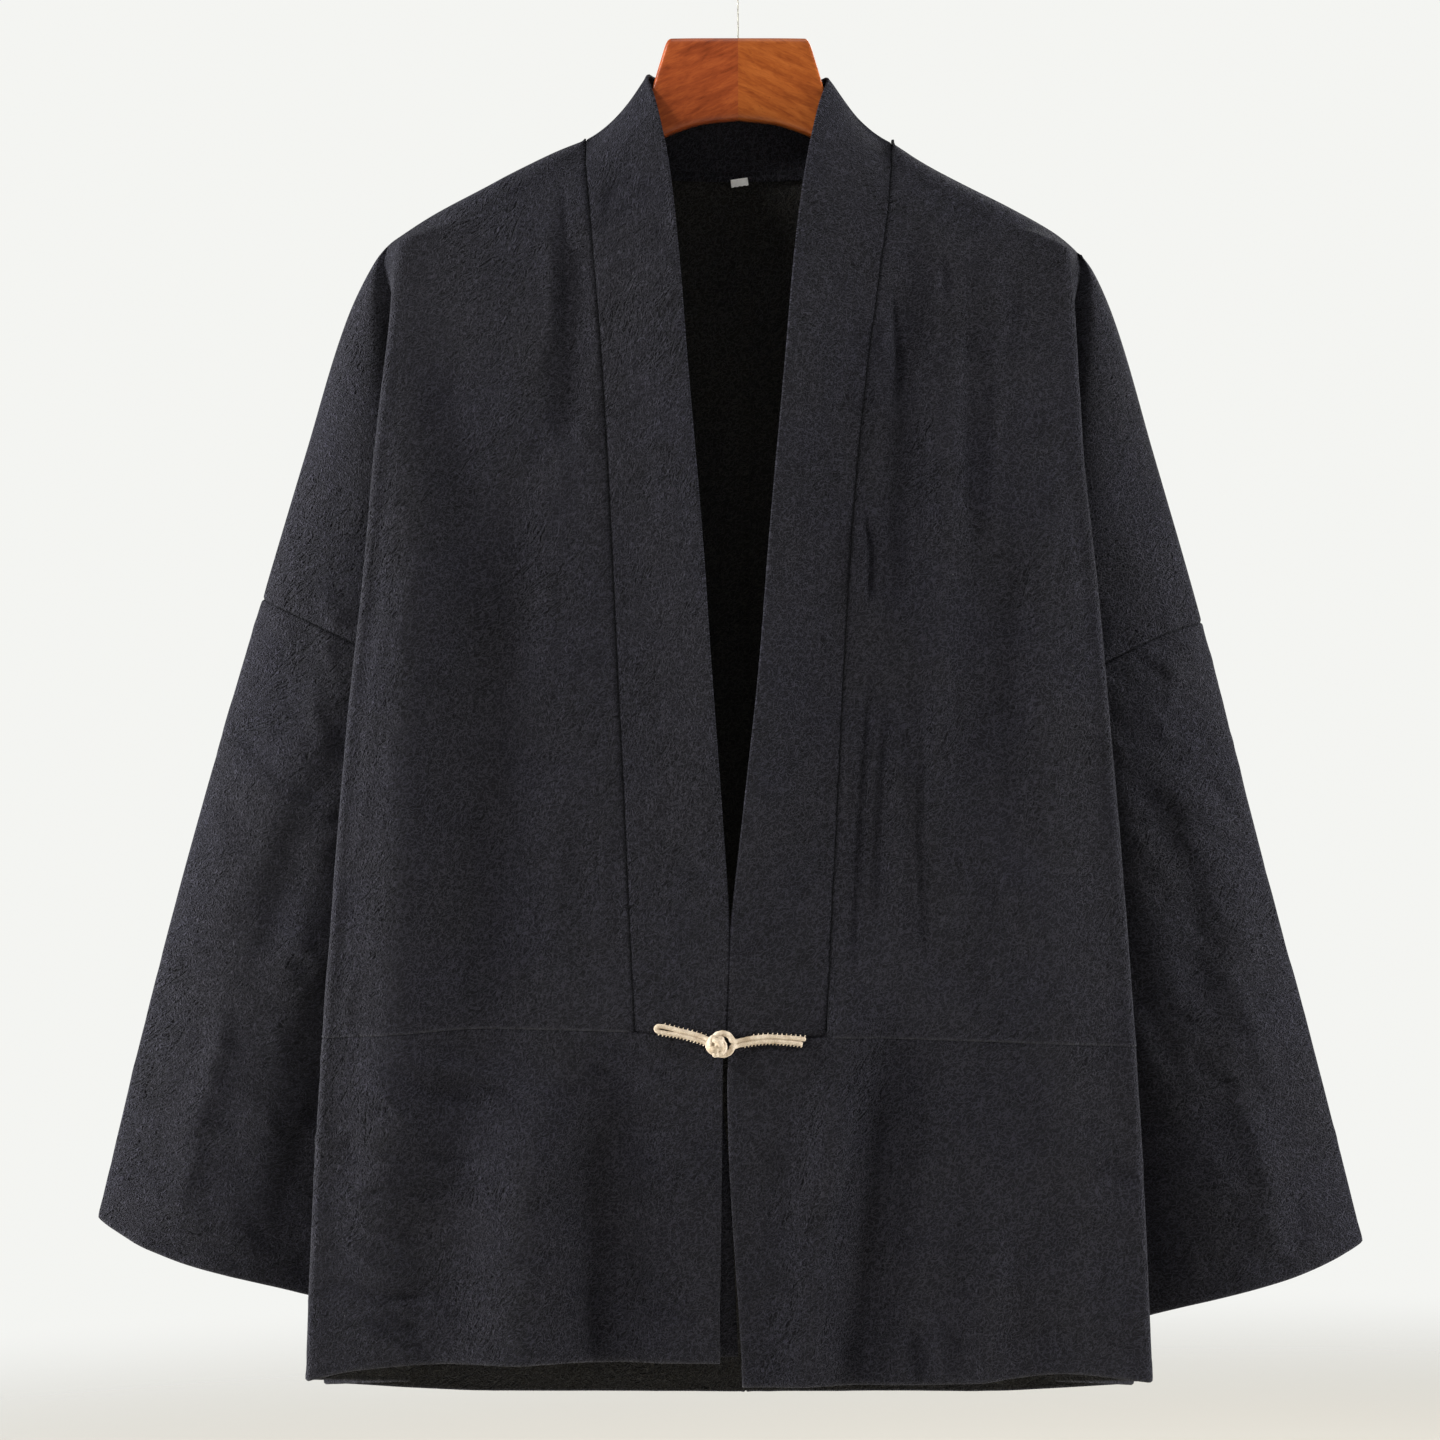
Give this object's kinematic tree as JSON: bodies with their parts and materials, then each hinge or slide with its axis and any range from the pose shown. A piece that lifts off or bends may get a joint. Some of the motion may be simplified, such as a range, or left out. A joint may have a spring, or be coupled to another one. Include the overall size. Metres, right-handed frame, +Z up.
{
  "type": "tang suit jacket on a hanger",
  "caption": "Open-front crinkled cloth jacket with wide sleeves, a band round the neck and a cord frog at the waist, hanging flat on a wooden hanger from a wire.",
  "frame": {"origin": "inside top of the wire's eye, where the hanger hangs from a hook or nail", "axes": "+Z up, +X towards the wearer's left, +Y from the front of the jacket to its back"},
  "size_m": [0.759, 0.1397, 0.8618],
  "materials": {
    "jacket_cloth": "matt crinkled cotton and linen cloth, charcoal with a touch of navy",
    "frog_cord": "matt beige cotton cord, hand stitched",
    "tab_cloth": "white woven tape",
    "wood_right": "varnished red-brown wood",
    "wood_left": "varnished orange-brown wood",
    "wire_steel": "thin bright wire"
  },
  "bodies": {
    "root": {"front_right": "jacket_cloth", "front_left": "jacket_cloth", "lower_front_right": "jacket_cloth", "lower_front_left": "jacket_cloth", "back_right": "jacket_cloth", "back_left": "jacket_cloth", "sleeve_right": "jacket_cloth", "sleeve_left": "jacket_cloth", "front_band": "jacket_cloth", "front_facing": "jacket_cloth", "frog_knot": "frog_cord", "frog_knot_tail": "frog_cord", "frog_loop": "frog_cord", "size_tab": "tab_cloth", "hanger_right": "wood_right", "hanger_left": "wood_left", "hang_wire": "wire_steel", "hang_loop": "wire_steel"}
  },
  "joints": []
}
